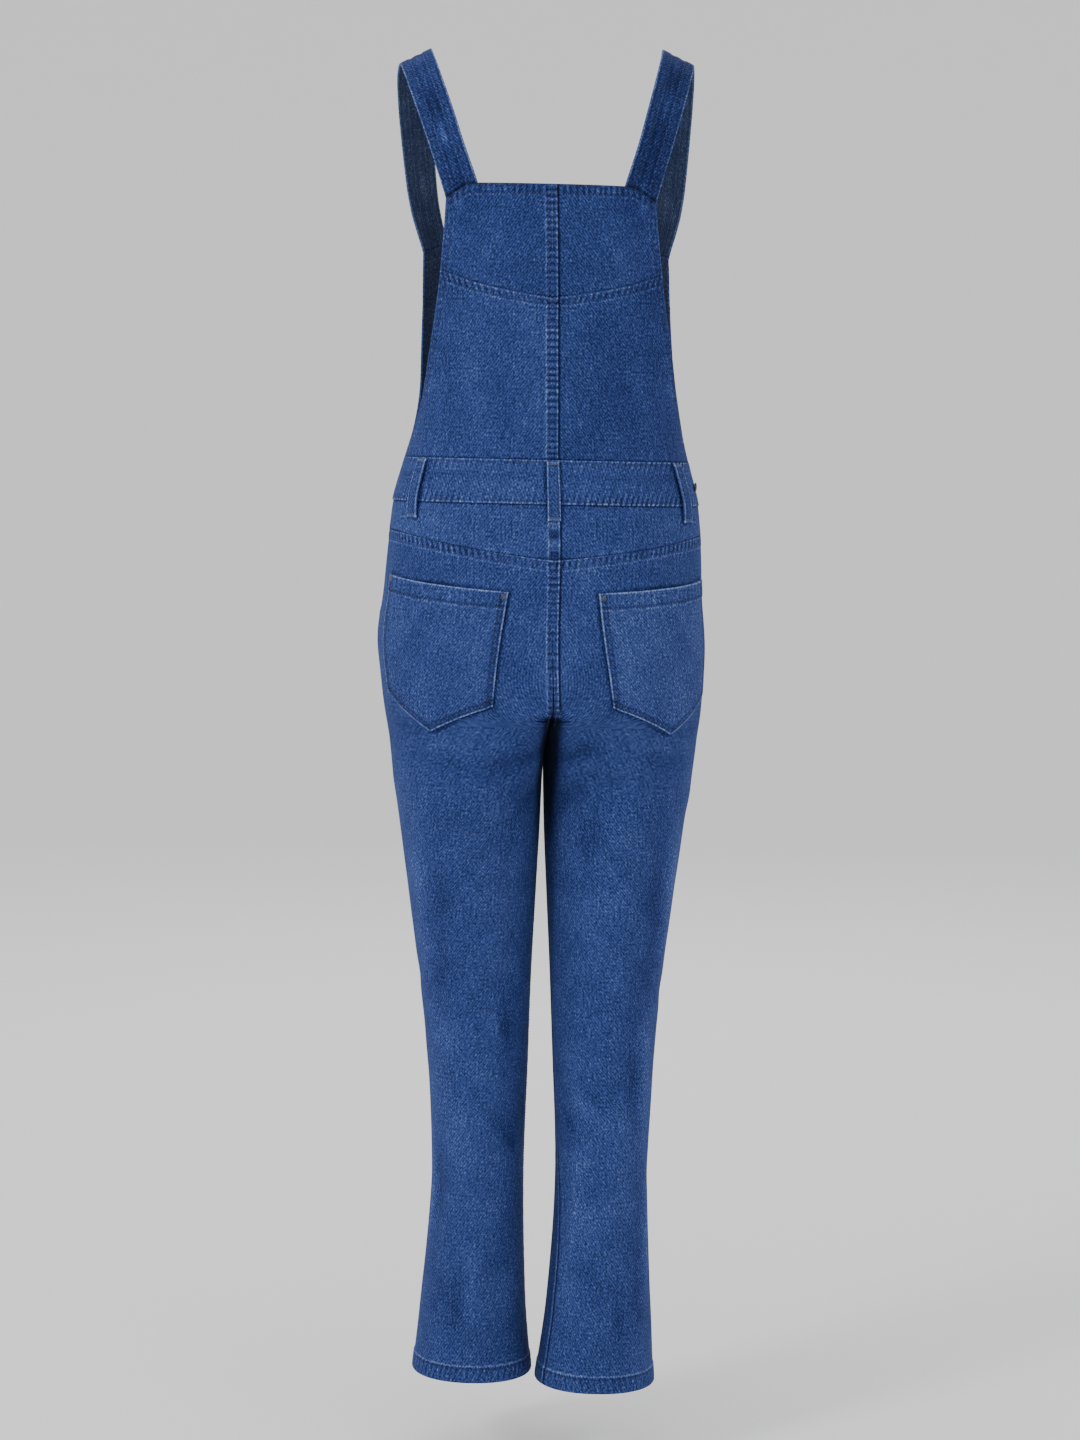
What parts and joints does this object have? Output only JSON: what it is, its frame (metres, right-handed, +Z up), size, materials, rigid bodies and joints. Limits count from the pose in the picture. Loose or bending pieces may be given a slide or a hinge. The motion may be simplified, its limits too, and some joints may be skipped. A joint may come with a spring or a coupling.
{
  "type": "denim dungarees",
  "caption": "Full-length denim dungarees filled out as when worn, with a back bib, front bib, sewn shoulder straps, waistband, back pockets and straight open legs.",
  "frame": {"origin": "midway between the crests of the two shoulder straps, where the wearer's shoulders carry the garment", "axes": "+Z up, +Y the way the wearer faces, +X towards the wearer's right"},
  "size_m": [0.3435, 0.2469, 1.3964],
  "materials": {
    "denim": "washed mid-blue twill, matt, with lighter worn edges along the sewn folds",
    "dark_metal": "dark oxidised snap",
    "thread": "blue topstitching thread, a little lighter than the cloth"
  },
  "bodies": {
    "root": {"back_bib_upper_left": "denim", "back_bib_upper_right": "denim", "back_bib_lower_left": "denim", "back_bib_lower_right": "denim", "front_bib_band": "denim", "front_bib": "denim", "strap_left": "denim", "strap_right": "denim", "waistband_back": "denim", "waistband_front": "denim", "yoke_left": "denim", "yoke_right": "denim", "back_leg_left": "denim", "back_leg_right": "denim", "front_leg_left": "denim", "front_leg_right": "denim", "hip_pocket_facing_left": "denim", "hip_pocket_facing_right": "denim", "back_pocket_left": "denim", "back_pocket_right": "denim", "belt_loop_back_centre": "denim", "belt_loop_back_left": "denim", "belt_loop_back_right": "denim", "belt_loop_front_left": "denim", "belt_loop_front_right": "denim", "side_snap": "dark_metal"}
  },
  "joints": []
}
